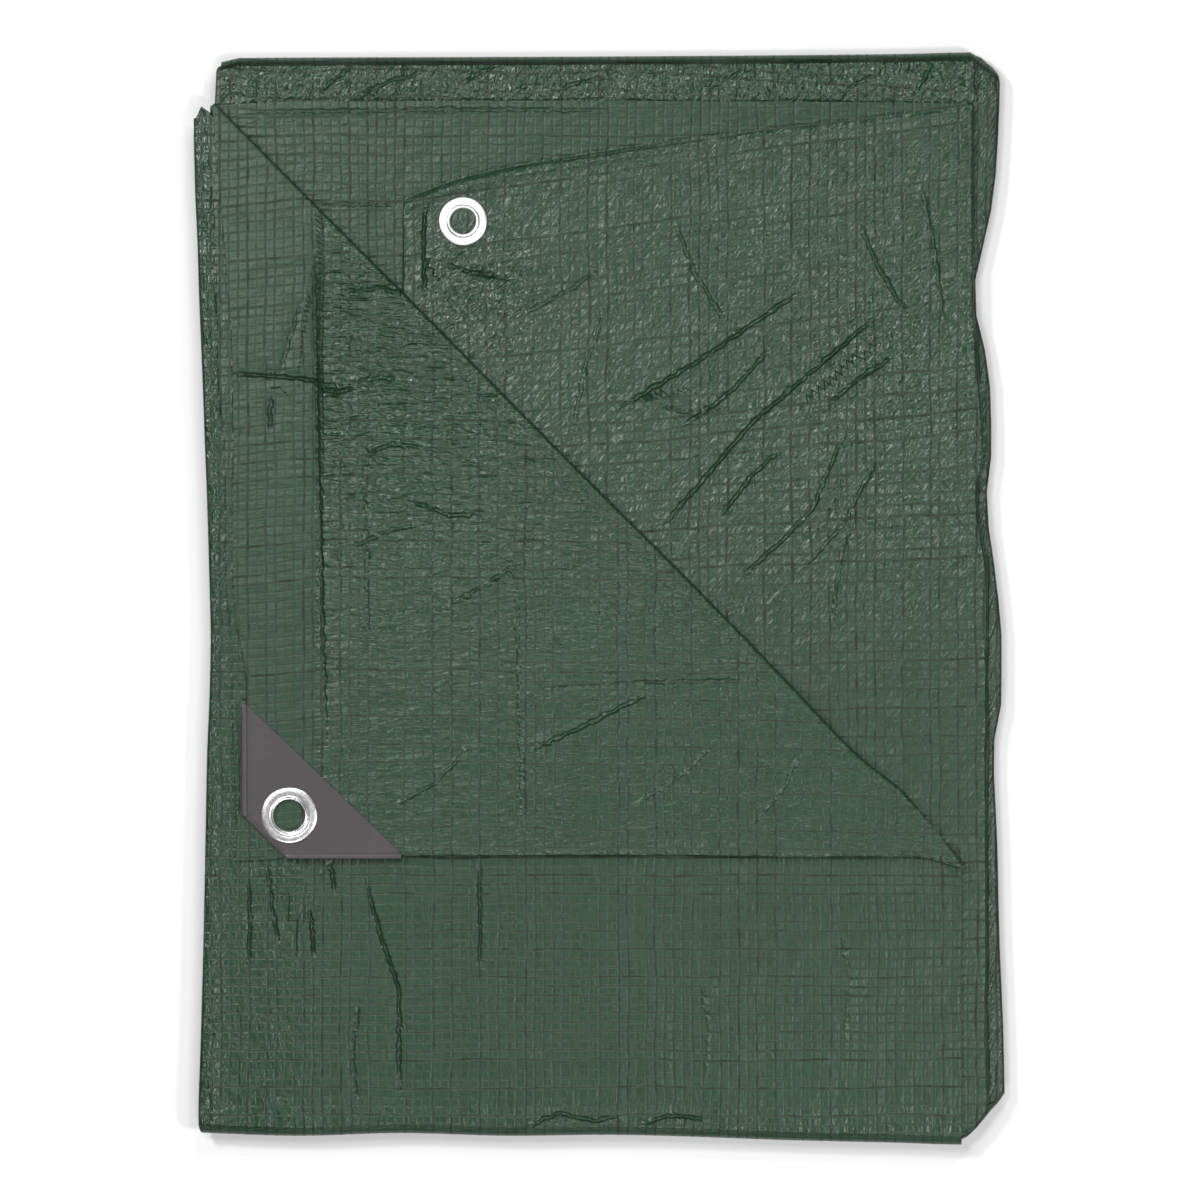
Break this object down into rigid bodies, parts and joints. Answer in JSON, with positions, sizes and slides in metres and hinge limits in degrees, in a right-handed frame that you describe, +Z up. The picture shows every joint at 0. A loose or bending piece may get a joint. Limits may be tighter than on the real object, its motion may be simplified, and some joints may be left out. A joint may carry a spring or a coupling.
{
  "type": "folded polyethylene tarpaulin",
  "caption": "Green woven polyethylene tarpaulin folded into a flat rectangle, with a corner turned over to show its patch and eyelet.",
  "frame": {"origin": "middle of the folded stack's footprint, on the surface it lies on", "axes": "+X to the right and +Y towards the hemmed end as seen from above, +Z up out of the surface"},
  "size_m": [0.3254, 0.4385, 0.0173],
  "materials": {
    "woven_cloth": "woven tapes under a thin glossy film",
    "patch_plastic": "satin moulded",
    "corner_eyelet_metal": "turned and polished",
    "edge_eyelet_metal": "bright, pale"
  },
  "bodies": {
    "root": {"tarp_cloth": "woven_cloth", "hem_strip": "woven_cloth", "corner_patch": "patch_plastic", "corner_eyelet": "corner_eyelet_metal", "edge_eyelet": "edge_eyelet_metal"}
  },
  "joints": []
}
